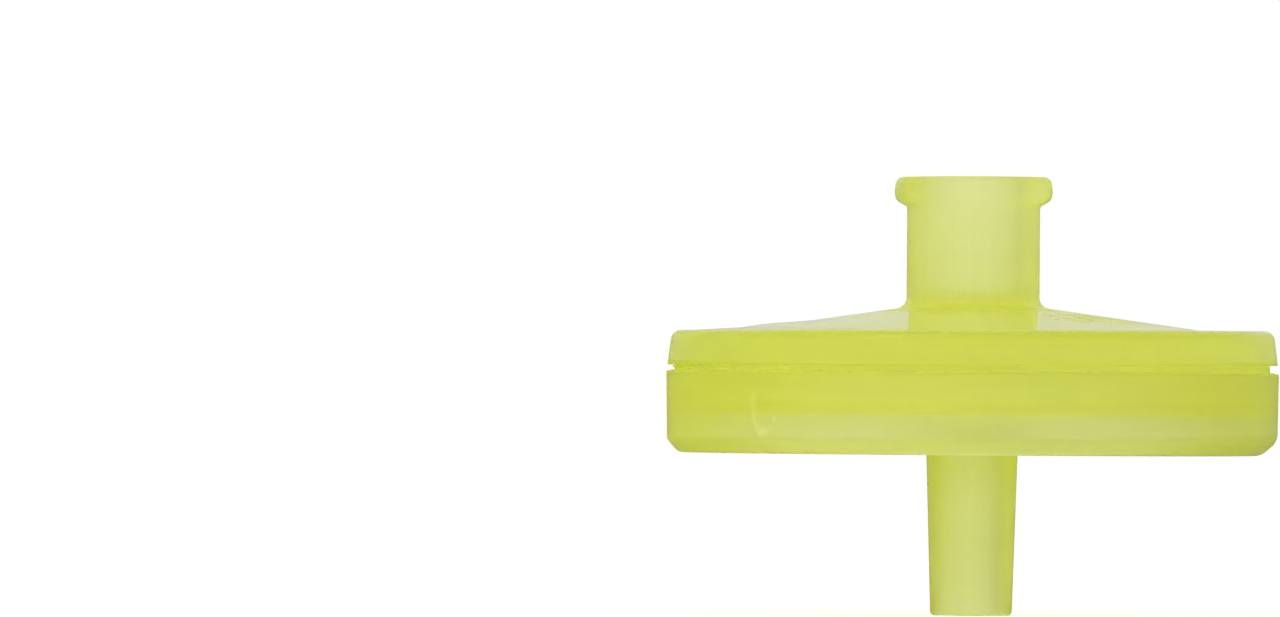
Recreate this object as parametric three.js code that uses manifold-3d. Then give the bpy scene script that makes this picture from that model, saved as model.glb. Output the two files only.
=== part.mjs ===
// Syringe filter for a 25 mm membrane: a small disc-shaped housing moulded in tinted
// polypropylene. Liquid enters a female luer-lock inlet on top, passes a white membrane
// and leaves through a male luer nozzle below. The housing is two mouldings that meet
// face to face at a welded joint, with the membrane clamped between them.
//
// Millimetres. +Z runs from the outlet towards the inlet, and the origin is the centre of
// the nozzle's end face. X lies close to the line through the two luer ears.

import * as THREE from 'three';
import { mergeVertices } from 'three/addons/utils/BufferGeometryUtils.js';
import Module from 'manifold-3d';

const wasm = await Module();
wasm.setup();

// ---- driving dimensions -------------------------------------------------------------

// Membrane: a punched disc, which sets the diameter of everything around it
const MEMBRANE_RADIUS = 12.5;
const MEMBRANE_THICKNESS = 0.2;
const MEMBRANE_CLEARANCE = 0.75;      // from the membrane's edge to the cup's wall

// Outlet nozzle: a male luer, 6 % taper on the diameter
const TIP_RADIUS = 2.0;
const LUER_SLOPE = 0.03;              // radius gained for each millimetre of length
const NOZZLE_LENGTH = 7.92;           // end face to the foot of the housing
const NOZZLE_BORE_RADIUS = 1.15;
const TIP_ROUND = 0.2;
const NOZZLE_ROOT_ROUND = 0.35;

// Outlet housing: a cup, with an open recess under its floor
const CUP_WALL = 1.77;
const SKIRT_WALL = 1.4;
const CUP_DRAFT = 0.05;               // radius lost from the joint down to the chamfer
const RECESS_DEPTH = 1.95;
const RECESS_ROUND = 0.3;
const FLOOR_THICKNESS = 0.7;
const FOOT_CHAMFER_WIDTH = 0.9;
const FOOT_CHAMFER_HEIGHT = 0.72;
const FOOT_ROUND = 0.3;
const JOINT_EDGE_ROUND = 0.12;

// Drain: rings that carry the membrane, cut through by straight channels
const DRAIN_DEPTH = 0.3;
const DRAIN_RING_WIDTH = 0.8;
const DRAIN_RING_PITCH = 1.95;
const DRAIN_FIRST_GAP = 1.0;          // from the nozzle's bore to the first ring
const DRAIN_LAST_GAP = 0.8;           // least gap from the last ring to the sealing ledge
const CHANNEL_WIDTH = 0.9;
const CHANNEL_LINES = 4;              // each line runs right across, so it makes two

// Inlet housing: a shallow cone on a rim, with a plug that clamps the membrane's edge
const CLAMP_WIDTH = 0.6;              // how much of the membrane's edge is clamped
const PLUG_DEPTH = 0.85;              // how far the plug reaches into the cup
const PLUG_CLEARANCE = 0.15;
const WELD_GAP = 0.35;                // the groove that shows between the two rims
const WELD_GROOVE_DEPTH = 0.45;
const RIM_HEIGHT = 1.7;
const RIM_SETBACK = 0.05;             // rim's widest edge inside the cup's
const RIM_DRAFT = 0.22;               // radius lost from the rim's bottom to its top
const RIM_TOP_ROUND = 0.5;
const RIM_LIP_ROUND = 0.1;
const RIM_LAND_WIDTH = 3.7;           // flat top of the rim, out to its widest edge
const CONE_RISE = 1.15;
const CHAMBER_DEPTH = 0.55;           // above the membrane, at the clamp
const CHAMBER_RISE = 0.95;            // further rise of the ceiling to the centre

// Inlet: a female luer with two ears
const TUBE_RADIUS = 3.26;
const TUBE_LENGTH = 6.38;             // above the cone
const TUBE_ROOT_ROUND = 0.55;
const TUBE_TOP_ROUND = 0.12;
const MOUTH_RADIUS = 2.15;
const MOUTH_LEAD_IN = 0.13;
const BORE_DEPTH = 5.95;
const BORE_FLOOR_ROUND = 0.15;
const PORT_COUNT = 4;
const PORT_LENGTH = 0.8;              // along the radius
const PORT_WALL_GAP = 0.17;           // from the port to the round at the bore's foot
const PORT_HALF_ANGLE = 20;           // degrees
const EAR_COUNT = 2;
const EAR_PROUD = 0.62;               // ear's nose beyond the tube's wall
const EAR_NOSE_DROP = 0.76;           // ear's widest line below the top face
const EAR_CROWN = 0.07;               // how far the nose falls back above and below
const EAR_HEIGHT = 1.2;
const EAR_UNDERSIDE_FALL = 0.35;      // underside slopes down to the tube by this much
const EAR_ROUND = 0.38;
const EAR_FLAT_ANGLE = 22;            // degrees each side of the ear's middle
const EAR_FOOT_ANGLE = 44;            // where the ear's flank has sunk into the tube
const EAR_TURN = 4;                   // degrees from +X towards +Y

// Faceting
const ROUND_SEGMENTS = 72;
const CORNER_STEPS = 3;
const SECTOR_STEPS = 5;
const EAR_STEPS = 20;
const CUT_MARGIN = 0.4;               // how far a cutting solid passes the face it opens
const EAR_TRIM = 0.05;                // flank outline beyond the nose, and below the wall
const MERGE_TOLERANCE = 1e-5;

// ---- levels and radii that follow from them -----------------------------------------

const footZ = NOZZLE_LENGTH;
const floorUnderZ = footZ + RECESS_DEPTH;
const floorTopZ = floorUnderZ + FLOOR_THICKNESS;
const seatZ = floorTopZ + DRAIN_DEPTH;
const membraneTopZ = seatZ + MEMBRANE_THICKNESS;
const jointZ = membraneTopZ + PLUG_DEPTH;
const rimBottomZ = jointZ + WELD_GAP;
const rimTopZ = rimBottomZ + RIM_HEIGHT;
const coneTopZ = rimTopZ + CONE_RISE;
const inletTopZ = coneTopZ + TUBE_LENGTH;
const boreFloorZ = inletTopZ - BORE_DEPTH;
const ceilingEdgeZ = membraneTopZ + CHAMBER_DEPTH;
const ceilingCentreZ = ceilingEdgeZ + CHAMBER_RISE;

const cupBoreRadius = MEMBRANE_RADIUS + MEMBRANE_CLEARANCE;
const housingRadius = cupBoreRadius + CUP_WALL;
const plugRadius = cupBoreRadius - PLUG_CLEARANCE;
const clampRadius = MEMBRANE_RADIUS - CLAMP_WIDTH;
const neckRadius = housingRadius - WELD_GROOVE_DEPTH;
const rimRadius = housingRadius - RIM_SETBACK;
const coneFootRadius = housingRadius - RIM_LAND_WIDTH;
const boreFloorRadius = MOUTH_RADIUS - LUER_SLOPE * BORE_DEPTH;
const portOuterRadius = boreFloorRadius - BORE_FLOOR_ROUND - PORT_WALL_GAP;
const portInnerRadius = portOuterRadius - PORT_LENGTH;
const earNoseRadius = TUBE_RADIUS + EAR_PROUD;
const earRootRadius = (TUBE_RADIUS + MOUTH_RADIUS + MOUTH_LEAD_IN) / 2;

// ---- geometry helpers ---------------------------------------------------------------

/**
 * Turns a list of corners [radius, height, rounding] into profile points. A corner with a
 * rounding becomes an arc that touches both of its edges; any other corner stays sharp.
 */
function roundedProfile(corners, closed) {
  const points = [];
  const last = corners.length - 1;
  corners.forEach(([radius, height, rounding = 0], i) => {
    const corner = new THREE.Vector2(radius, height);
    if (rounding === 0 || (!closed && (i === 0 || i === last))) {
      points.push(corner);
      return;
    }
    const before = new THREE.Vector2(...corners[i === 0 ? last : i - 1]);
    const after = new THREE.Vector2(...corners[i === last ? 0 : i + 1]);
    points.push(...cornerArc(corner, before, after, rounding));
  });
  if (closed) points.push(points[0].clone());
  return points;
}

/** The arc of the given radius that touches the two edges meeting at a corner. */
function cornerArc(corner, before, after, radius) {
  const towardsBefore = before.clone().sub(corner).normalize();
  const towardsAfter = after.clone().sub(corner).normalize();
  const halfAngle = Math.acos(THREE.MathUtils.clamp(towardsBefore.dot(towardsAfter), -1, 1)) / 2;
  const bisector = towardsBefore.clone().add(towardsAfter).normalize();
  const centre = corner.clone().addScaledVector(bisector, radius / Math.sin(halfAngle));
  const start = corner.clone().addScaledVector(towardsBefore, radius / Math.tan(halfAngle));
  const spoke = start.sub(centre);
  const turn = Math.sign(towardsAfter.cross(towardsBefore)) * (Math.PI - 2 * halfAngle);
  return Array.from({ length: CORNER_STEPS + 1 }, (_, step) =>
    spoke.clone().rotateAround(new THREE.Vector2(), (turn * step) / CORNER_STEPS).add(centre));
}

/** A solid of revolution about +Z. The corners run anticlockwise, radius to the right. */
function revolve(corners, { closed = true } = {}) {
  const geometry = new THREE.LatheGeometry(roundedProfile(corners, closed), ROUND_SEGMENTS);
  return toSolid(geometry.rotateX(Math.PI / 2));
}

/** Extrudes a flat shape from one height to another. */
function extrude(shape, fromZ, toZ) {
  const options = { depth: toZ - fromZ, bevelEnabled: false, curveSegments: SECTOR_STEPS };
  return toSolid(new THREE.ExtrudeGeometry(shape, options).translate(0, 0, fromZ));
}

/** Closed three.js geometry to a manifold solid, without the slivers left at a pole. */
function toSolid(geometry) {
  geometry.deleteAttribute('normal');
  geometry.deleteAttribute('uv');
  const merged = mergeVertices(geometry, MERGE_TOLERANCE);
  const index = merged.index.array;
  const triVerts = [];
  for (let i = 0; i < index.length; i += 3) {
    const [a, b, c] = [index[i], index[i + 1], index[i + 2]];
    if (a !== b && b !== c && c !== a) triVerts.push(a, b, c);
  }
  return new wasm.Manifold(new wasm.Mesh({
    numProp: 3,
    vertProperties: new Float32Array(merged.attributes.position.array),
    triVerts: new Uint32Array(triVerts),
  }));
}

/** A named mesh made from a manifold solid. */
function toMesh(name, solid, material) {
  const { vertProperties, triVerts } = solid.getMesh();
  const geometry = new THREE.BufferGeometry();
  geometry.setAttribute('position', new THREE.BufferAttribute(vertProperties, 3));
  geometry.setIndex(new THREE.BufferAttribute(triVerts, 1));
  geometry.computeVertexNormals();
  const mesh = new THREE.Mesh(geometry, material);
  mesh.name = name;
  return mesh;
}

/** Radius of the nozzle's tapered wall at a height. */
const nozzleRadius = (z) => TIP_RADIUS + LUER_SLOPE * z;

// ---- outlet housing -----------------------------------------------------------------

/** Inner radii of the drain rings, as many as fit between the bore and the ledge. */
function drainRings() {
  const radii = [];
  const limit = clampRadius - DRAIN_LAST_GAP - DRAIN_RING_WIDTH;
  for (let r = NOZZLE_BORE_RADIUS + DRAIN_FIRST_GAP; r <= limit; r += DRAIN_RING_PITCH) radii.push(r);
  return radii;
}

/** The cup, its open recess and the nozzle, turned in one outline. */
function outletBody() {
  const skirtInner = housingRadius - CUP_DRAFT - SKIRT_WALL;
  const skirtOuter = housingRadius - CUP_DRAFT;
  const outside = [
    [NOZZLE_BORE_RADIUS, 0],
    [TIP_RADIUS, 0, TIP_ROUND],
    [nozzleRadius(floorUnderZ), floorUnderZ, NOZZLE_ROOT_ROUND],
    [skirtInner, floorUnderZ, RECESS_ROUND],
    [skirtInner, footZ, FOOT_ROUND / 2],
    [skirtOuter - FOOT_CHAMFER_WIDTH, footZ, FOOT_ROUND],
    [skirtOuter, footZ + FOOT_CHAMFER_HEIGHT, FOOT_ROUND],
    [housingRadius, jointZ, JOINT_EDGE_ROUND],
  ];
  const inside = [
    [cupBoreRadius, jointZ],
    [cupBoreRadius, seatZ],
    [clampRadius, seatZ],
    [clampRadius, floorTopZ],
  ];
  for (const inner of drainRings().reverse()) {
    const outer = inner + DRAIN_RING_WIDTH;
    inside.push([outer, floorTopZ], [outer, seatZ], [inner, seatZ], [inner, floorTopZ]);
  }
  inside.push([NOZZLE_BORE_RADIUS, floorTopZ]);
  return revolve([...outside, ...inside]);
}

/** The straight channels that lead the filtrate through the rings to the bore. */
function drainChannels() {
  const rings = drainRings();
  const reach = rings[rings.length - 1] + DRAIN_RING_WIDTH + DRAIN_LAST_GAP / 2;
  const height = DRAIN_DEPTH + CUT_MARGIN;
  return Array.from({ length: CHANNEL_LINES }, (_, i) => {
    const line = new THREE.BoxGeometry(2 * reach, CHANNEL_WIDTH, height);
    line.translate(0, 0, floorTopZ + height / 2);
    line.rotateZ((i * Math.PI) / CHANNEL_LINES + THREE.MathUtils.degToRad(EAR_TURN));
    return toSolid(line);
  });
}

function outletHousing(material) {
  const solid = drainChannels().reduce((body, line) => body.subtract(line), outletBody());
  return toMesh('outlet_housing', solid, material);
}

// ---- membrane -----------------------------------------------------------------------

/** A plain disc that lies on the drain rings and on the sealing ledge. */
function filterMembrane(material) {
  const disc = [
    [0, seatZ],
    [MEMBRANE_RADIUS, seatZ],
    [MEMBRANE_RADIUS, membraneTopZ],
    [0, membraneTopZ],
  ];
  return toMesh('filter_membrane', revolve(disc, { closed: false }), material);
}

// ---- inlet housing ------------------------------------------------------------------

/** Rim, cone, tube, blind luer bore and the plug below, turned in one outline. */
function inletBody() {
  return revolve([
    [0, ceilingCentreZ],
    [clampRadius, ceilingEdgeZ],
    [clampRadius, membraneTopZ],
    [plugRadius, membraneTopZ],
    [plugRadius, jointZ],
    [neckRadius, jointZ],
    [neckRadius, rimBottomZ],
    [rimRadius, rimBottomZ, RIM_LIP_ROUND],
    [rimRadius - RIM_DRAFT, rimTopZ, RIM_TOP_ROUND],
    [coneFootRadius, rimTopZ],
    [TUBE_RADIUS, coneTopZ, TUBE_ROOT_ROUND],
    [TUBE_RADIUS, inletTopZ, TUBE_TOP_ROUND],
    [MOUTH_RADIUS + MOUTH_LEAD_IN, inletTopZ],
    [MOUTH_RADIUS, inletTopZ - MOUTH_LEAD_IN],
    [boreFloorRadius, boreFloorZ, BORE_FLOOR_ROUND],
    [0, boreFloorZ],
  ], { closed: false });
}

/** The ring from which the ears are taken: rounded nose above, sloping underside below. */
function earRing() {
  const edge = earNoseRadius - EAR_CROWN;
  const undersideSlope = EAR_UNDERSIDE_FALL / (edge - TUBE_RADIUS);
  const rootZ = inletTopZ - EAR_HEIGHT - undersideSlope * (edge - earRootRadius);
  return revolve([
    [earRootRadius, rootZ],
    [edge, inletTopZ - EAR_HEIGHT, EAR_ROUND],
    [earNoseRadius, inletTopZ - EAR_NOSE_DROP],
    [edge, inletTopZ, EAR_ROUND],
    [earRootRadius, inletTopZ],
  ]);
}

/** Plan of one ear: flat across its middle, then an S-shaped flank down into the wall. */
function earPlan() {
  const nose = earNoseRadius + EAR_TRIM;
  const sunk = TUBE_RADIUS - EAR_TRIM;
  const foot = THREE.MathUtils.degToRad(EAR_FOOT_ANGLE);
  const plan = new THREE.Shape();
  for (let i = 0; i <= EAR_STEPS; i += 1) {
    const angle = THREE.MathUtils.lerp(-EAR_FOOT_ANGLE, EAR_FOOT_ANGLE, i / EAR_STEPS);
    const sink = THREE.MathUtils.smoothstep(Math.abs(angle), EAR_FLAT_ANGLE, EAR_FOOT_ANGLE);
    const reach = THREE.MathUtils.lerp(nose, sunk, sink);
    const turn = THREE.MathUtils.degToRad(angle);
    const place = [reach * Math.cos(turn), reach * Math.sin(turn)];
    if (i === 0) plan.moveTo(...place);
    else plan.lineTo(...place);
  }
  plan.lineTo(earRootRadius * Math.cos(foot), earRootRadius * Math.sin(foot));
  plan.lineTo(earRootRadius * Math.cos(foot), -earRootRadius * Math.sin(foot));
  return plan;
}

/** The two luer ears, opposite each other. */
function ears() {
  const ring = earRing();
  const plan = extrude(earPlan(), inletTopZ - 2 * EAR_HEIGHT, inletTopZ + CUT_MARGIN);
  const ear = ring.intersect(plan);
  return Array.from({ length: EAR_COUNT }, (_, i) =>
    ear.rotate([0, 0, EAR_TURN + (i * 360) / EAR_COUNT]));
}

/** The sector-shaped ports through the bore's floor, which leave a cross-shaped web. */
function ports() {
  const half = THREE.MathUtils.degToRad(PORT_HALF_ANGLE);
  const sector = new THREE.Shape();
  sector.absarc(0, 0, portOuterRadius, -half, half, false);
  sector.absarc(0, 0, portInnerRadius, half, -half, true);
  const port = extrude(sector, ceilingEdgeZ, boreFloorZ + CUT_MARGIN);
  return Array.from({ length: PORT_COUNT }, (_, i) =>
    port.rotate([0, 0, EAR_TURN + (i * 360) / PORT_COUNT]));
}

function inletHousing(material) {
  const joined = ears().reduce((body, ear) => body.add(ear), inletBody());
  const solid = ports().reduce((body, port) => body.subtract(port), joined);
  return toMesh('inlet_housing', solid, material);
}

// ---- assembly -----------------------------------------------------------------------

const tintedPolypropylene = new THREE.MeshStandardMaterial({
  color: 0xcfd94d,
  roughness: 0.35,
  metalness: 0,
});

const whiteMembrane = new THREE.MeshStandardMaterial({
  color: 0xf0f1ec,
  roughness: 0.9,
  metalness: 0,
});

const group = new THREE.Group();
group.name = 'syringe_filter';
group.add(outletHousing(tintedPolypropylene));
group.add(filterMembrane(whiteMembrane));
group.add(inletHousing(tintedPolypropylene));

export default group;
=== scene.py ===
import bpy
import numpy as np
from mathutils import Matrix, Vector


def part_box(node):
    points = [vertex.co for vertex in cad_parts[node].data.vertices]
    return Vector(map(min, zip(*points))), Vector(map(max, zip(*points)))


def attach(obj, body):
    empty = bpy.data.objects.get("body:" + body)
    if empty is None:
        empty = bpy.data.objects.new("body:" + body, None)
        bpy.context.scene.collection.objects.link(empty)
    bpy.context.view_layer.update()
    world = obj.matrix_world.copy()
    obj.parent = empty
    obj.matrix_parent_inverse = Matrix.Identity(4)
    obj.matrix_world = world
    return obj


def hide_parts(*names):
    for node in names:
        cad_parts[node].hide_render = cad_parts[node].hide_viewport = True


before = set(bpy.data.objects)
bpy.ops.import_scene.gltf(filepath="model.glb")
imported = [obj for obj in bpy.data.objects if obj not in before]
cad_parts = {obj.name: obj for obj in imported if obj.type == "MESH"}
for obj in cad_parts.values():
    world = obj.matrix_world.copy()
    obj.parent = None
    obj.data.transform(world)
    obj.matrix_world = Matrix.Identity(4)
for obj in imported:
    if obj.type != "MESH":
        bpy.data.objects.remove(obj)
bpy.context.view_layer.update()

# ---- Outlet housing -------------------------------------------------------------------
# The lower moulding, in tinted polypropylene: a cup with drain rings that carry the
# membrane, an open recess under its floor and a male luer nozzle. It was injection moulded
# through one gate low on the side, which left a scar, and its foot is chamfered unevenly.

MM = 0.001                        # outlines are written in millimetres
NEAR = 0.01                       # how close to an edge a row still counts as on it
MEMBRANE_GAP = 0.02               # so that no two faces lie in the same place
NOZZLE_LENGTH = 7.92
RECESS_DEPTH = 1.95
FLOOR_THICKNESS = 0.7
CUP_WALL = 1.77
CUP_DRAFT = 0.05                  # the wall leans in by this much on its way down
SKIRT_WALL = 1.4
CLAMP_WIDTH = 0.6                 # of the ledge under the membrane's edge
BEAD_SETBACK = 0.33               # plastic squeezed out of the weld on to the lip
BEAD_HEIGHT = 0.06
BEAD_WIDTH = 0.05
LIP_DEPTH = 0.12                  # the top of the wall, which the weld left ragged
LIP_RAGGEDNESS = 0.006
LIP_SINK = 0.003
LUER_SLOPE = 0.03
TIP_RADIUS = 2.0
NOZZLE_BORE_RADIUS = 1.15
FIRST_DRAIN_RING = 2.15           # its inner radius
DRAIN_RING_STEP = 1.95
DRAIN_RING_COUNT = 5
DRAIN_RING_WIDTH = 0.8
DRAIN_RING_DRAFT = 0.04
DRAIN_LINES = 8                   # channels from the bore to the ledge
CHANNEL_WIDTH = 0.9
CHANNEL_FLARE = (-0.05, 0.08)     # where its sides start and end, from half its width
EAR_TURN = 4.0                    # degrees from +X; ears, ports and channels share it
LEFT_CHAMFER = (0.55, 0.64, 0.5)  # width, height and rounding
RIGHT_CHAMFER = (0.82, 0.69, 0.85)
ARC_POINTS = 8                    # more points on an arc for each millimetre of its rounding
LARGEST_ARC = 0.5                 # a larger rounding gets no more points than this one
FACET_ANGLE = np.radians(40)      # edges that turn further are sharp

cup_low, cup_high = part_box("outlet_housing")
membrane_low, membrane_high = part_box("filter_membrane")
CUP_RADIUS = cup_high.x / MM
NOZZLE_END = cup_low.z / MM
JOINT = cup_high.z / MM
LEDGE = membrane_low.z / MM
SEAT = LEDGE - MEMBRANE_GAP
FOOT = NOZZLE_END + NOZZLE_LENGTH
RECESS_TOP = FOOT + RECESS_DEPTH
CUP_FLOOR = RECESS_TOP + FLOOR_THICKNESS
CUP_BORE_RADIUS = CUP_RADIUS - CUP_WALL
SKIRT_RADIUS = CUP_RADIUS - CUP_DRAFT
SKIRT_BORE_RADIUS = SKIRT_RADIUS - SKIRT_WALL
CLAMP_RADIUS = membrane_high.x / MM - CLAMP_WIDTH
BEAD_RADIUS = CUP_RADIUS - BEAD_SETBACK


def rounded_outline(corners, closed=False):
    """Points (radius, height) along an outline, in millimetres.

    Each corner is (radius, height, rounding, rows). A rounding becomes an arc that touches
    both edges, and the straight run on to the next corner is cut into that many rows.
    """
    count = len(corners)
    arcs = []
    for i, (radius, height, rounding, rows) in enumerate(corners):
        corner = np.array([radius, height])
        if rounding == 0:
            arcs.append(corner[None])
            continue
        back = np.array(corners[i - 1][:2]) - corner
        on = np.array(corners[(i + 1) % count][:2]) - corner
        back /= np.linalg.norm(back)
        on /= np.linalg.norm(on)
        half = np.arccos(np.clip(back @ on, -1, 1)) / 2
        centre = corner + (back + on) / np.linalg.norm(back + on) * rounding / np.sin(half)
        spoke = corner + back * rounding / np.tan(half) - centre
        turn = np.sign(on[0] * back[1] - on[1] * back[0]) * (np.pi - 2 * half)
        points_on_arc = 3 + round(min(rounding, LARGEST_ARC) * ARC_POINTS)
        swept = np.linspace(0, turn, points_on_arc)[:, None]
        square = np.array([-spoke[1], spoke[0]])
        arcs.append(centre + spoke * np.cos(swept) + square * np.sin(swept))
    points = []
    for i, arc in enumerate(arcs):
        points.append(arc)
        if closed or i < count - 1:
            start, end = arc[-1], arcs[(i + 1) % count][0]
            steps = np.linspace(0, 1, corners[i][3] + 1)[1:-1, None]
            points.append(start + (end - start) * steps)
    return np.concatenate(points)


def smooth_step(low, high, value):
    """0 at low, 1 at high, held beyond them, and 3t^2 - 2t^3 between; high may be the lower."""
    t = np.clip((value - low) / (high - low), 0, 1)
    return t * t * (3 - 2 * t)


def wavy(angles, waves, seed):
    """A ragged line round the axis: sines of 1 to `waves` turns, with random sizes that fall
    with the number of turns and random phases, scaled to run from -1 to 1."""
    rng = np.random.default_rng(seed)
    turns = np.arange(1, waves + 1)
    sizes = rng.uniform(0.4, 1.0, waves) / np.sqrt(turns)
    phases = rng.uniform(0, 2 * np.pi, waves)
    line = (sizes * np.sin(np.outer(angles, turns) + phases)).sum(axis=1)
    return line / np.abs(line).max()


def add_object(name, data):
    """A new object in the scene."""
    made = bpy.data.objects.new(name, data)
    bpy.context.scene.collection.objects.link(made)
    return made


def mesh_of(name, points, squares, caps):
    """A smooth mesh of four-cornered and three-cornered faces, from points in millimetres. It
    holds only the points that a face uses; their numbers are returned too."""
    used, corners = np.unique(np.concatenate([squares.ravel(), caps.ravel()]), return_inverse=True)
    squares, caps = corners[:squares.size].reshape(-1, 4), corners[squares.size:].reshape(-1, 3)
    mesh = bpy.data.meshes.new(name)
    mesh.from_pydata(points.reshape(-1, 3)[used] * MM, [], squares.tolist() + caps.tolist())
    mesh.shade_smooth()
    return mesh, used


def turned_piece(name, radius, height, angles, marks, holes=()):
    """A closed mesh whose points are (R cos a, R sin a, H), with R and H given for every angle
    (first axis) and every row of the outline (second axis), in millimetres.

    An outline that starts and ends on the axis closes at two poles, and any other closes on
    itself. `marks` names numbers for every point, kept as attributes. Each hole is (columns,
    upper rows, lower rows): that patch is left out of both rows, and a wall joins its edges.
    """
    poles = radius[0, 0] == 0
    columns, rows = radius.shape
    across = np.stack([np.cos(angles), np.sin(angles)], axis=1)
    points = np.concatenate([radius[..., None] * across[:, None], height[..., None]], axis=2)
    number = np.arange(columns * rows).reshape(columns, rows)
    following = np.roll(number, -1, axis=0)
    last = rows - 1 if poles else rows
    near, far = np.arange(last), np.arange(1, last + 1) % rows
    quads = np.stack([number[:, near], following[:, near], following[:, far], number[:, far]], 2)
    kept = np.ones((columns, last), bool)
    walls = [np.empty((0, 4), int)]
    for hole_columns, upper, lower in holes:
        kept[np.ix_(hole_columns, upper[:-1])] = False
        kept[np.ix_(hole_columns, lower[:-1])] = False
        edge_columns = np.append(hole_columns, (hole_columns[-1] + 1) % columns)
        top = rim_of_patch(number[np.ix_(edge_columns, upper)])
        bottom = rim_of_patch(number[np.ix_(edge_columns, lower[::-1])])
        walls.append(np.stack([top, np.roll(top, -1), np.roll(bottom, -1), bottom], 1))
    caps = np.empty((0, 3), int)
    if poles:
        kept[:, [0, -1]] = False
        start, end = np.full(columns, number[0, 0]), np.full(columns, number[0, -1])
        caps = np.concatenate([np.stack([start, following[:, 1], number[:, 1]], 1),
                               np.stack([number[:, -2], following[:, -2], end], 1)])
    mesh, used = mesh_of(name, points, np.concatenate([quads[kept], *walls]), caps)
    mesh.set_sharp_from_angle(angle=FACET_ANGLE)
    for mark, values in marks.items():
        layer = mesh.attributes.new(mark, "FLOAT", "POINT")
        layer.data.foreach_set("value", np.broadcast_to(values, radius.shape).ravel()[used])
    return add_object(name, mesh)


def rim_of_patch(patch):
    """The numbers round the edge of a rectangular patch of a grid, once round."""
    return np.concatenate([patch[:, 0], patch[-1, 1:], patch[-2::-1, -1], patch[0, -2:0:-1]])


def cup_outline(chamfer_width, chamfer_height, rounding):
    """The cup's outline, with the foot chamfer as given. It starts at the nozzle's bore."""
    nozzle_root = TIP_RADIUS + LUER_SLOPE * (RECESS_TOP - NOZZLE_END)
    corners = [
        (NOZZLE_BORE_RADIUS, NOZZLE_END, 0, 2),
        (TIP_RADIUS, NOZZLE_END, 0.22, 12),
        (nozzle_root, RECESS_TOP, 0.25, 12),
        (SKIRT_BORE_RADIUS, RECESS_TOP, 0.1, 3),
        (SKIRT_BORE_RADIUS, FOOT, 0.12, 1),
        (SKIRT_RADIUS - chamfer_width, FOOT, rounding, 3),
        (SKIRT_RADIUS, FOOT + chamfer_height, rounding, 44),
        (CUP_RADIUS, JOINT - MEMBRANE_GAP, 0.05, 3),
        (BEAD_RADIUS, JOINT + BEAD_HEIGHT, 0.04, 1),
        (BEAD_RADIUS - BEAD_WIDTH, JOINT, 0, 2),
        (CUP_BORE_RADIUS, JOINT, 0, 2),
        (CUP_BORE_RADIUS, SEAT, 0.08, 2),
        (CLAMP_RADIUS, SEAT, 0.06, 1),
        (CLAMP_RADIUS, CUP_FLOOR, 0.1, 1),
    ]
    for ring in reversed(range(DRAIN_RING_COUNT)):
        inner = FIRST_DRAIN_RING + DRAIN_RING_STEP * ring
        outer = inner + DRAIN_RING_WIDTH
        corners += [
            (outer, CUP_FLOOR, 0.08, 1),
            (outer - DRAIN_RING_DRAFT, SEAT, 0.1, 1),
            (inner + DRAIN_RING_DRAFT, SEAT, 0.1, 1),
            (inner, CUP_FLOOR, 0.08, 1),
        ]
    corners.append((NOZZLE_BORE_RADIUS, CUP_FLOOR, 0.1, 12))
    return rounded_outline(corners, closed=True)


SCAR_ANGLE = np.radians(227.4)
SCAR_HEIGHT = 9.93
SCAR_COLUMNS = np.radians(np.arange(-5, 5, 0.25))  # closer columns, from its middle
SCAR_RELIEF = (0.035, 0.03, 0.06, -0.02)  # of its band, blob, nib and dish
SCAR_PALENESS = (0.9, 1.0, 1.2, -0.5)


def bell(along, up, middle, size, power):
    """exp(-(x^power + y^power)), with x and y the distances from the middle over the sizes."""
    across, above = (along - middle[0]) / size[0], (up - middle[1]) / size[1]
    return np.exp(-(across ** power + above ** power))


def gate_scar(along, up):
    """The torn gate, for a distance along the wall and a height from the scar's middle: how
    far the wall is pushed out (in, below 0), and how pale the plastic is (deeper, below 0).

    A band that narrows downwards and hooks right ends in a blob, with a dish beside it and a
    nib beyond. The band is a bell curve across its bent middle line, and fades at its ends."""
    middle = -0.93 + 0.10 * smooth_step(0.1, -0.8, up) + 0.42 * smooth_step(-0.45, -1.15, up)
    width = 0.14 + 0.14 * smooth_step(-0.6, 0.6, up)
    band = np.exp(-((along - middle) / width) ** 2)
    band = band * smooth_step(-1.3, -1.1, up) * (1 - smooth_step(0.75, 1.05, up))
    blob = bell(along, up, (-0.25, -0.91), (0.36, 0.21), 2)
    nib = bell(along, up, (0.42, -0.4), (0.06, 0.17), 2)
    dish = bell(along, up, (-0.2, 0.25), (0.42, 0.62), 4)
    forms = (band, blob, nib, dish)
    out = sum(height * form for height, form in zip(SCAR_RELIEF, forms))
    pale = sum(share * form for share, form in zip(SCAR_PALENESS, forms))
    return out, np.clip(pale, -1, 1)


cup_angles = np.union1d(np.round(np.radians(np.arange(360)), 9),
                        np.round(SCAR_ANGLE + SCAR_COLUMNS, 9))
left_foot, right_foot = cup_outline(*LEFT_CHAMFER), cup_outline(*RIGHT_CHAMFER)
row_radius, row_height = left_foot.T
rightness = ((1 + np.cos(cup_angles)) / 2)[:, None]
cup_radius = row_radius + (right_foot - left_foot)[:, 0] * rightness
cup_height = row_height + (right_foot - left_foot)[:, 1] * rightness

spoke_turn = np.pi * 2 / DRAIN_LINES
off_line = (cup_angles - np.radians(EAR_TURN) + spoke_turn / 2) % spoke_turn - spoke_turn / 2
beside = np.abs(cup_radius * np.sin(off_line)[:, None]) - CHANNEL_WIDTH / 2
out_of_channel = smooth_step(*CHANNEL_FLARE, beside)
on_ring = (cup_radius < CLAMP_RADIUS - 0.1) & (cup_height > CUP_FLOOR)
ring_height = CUP_FLOOR + (cup_height - CUP_FLOOR) * out_of_channel
cup_height = np.where(on_ring, ring_height, cup_height)

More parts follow.
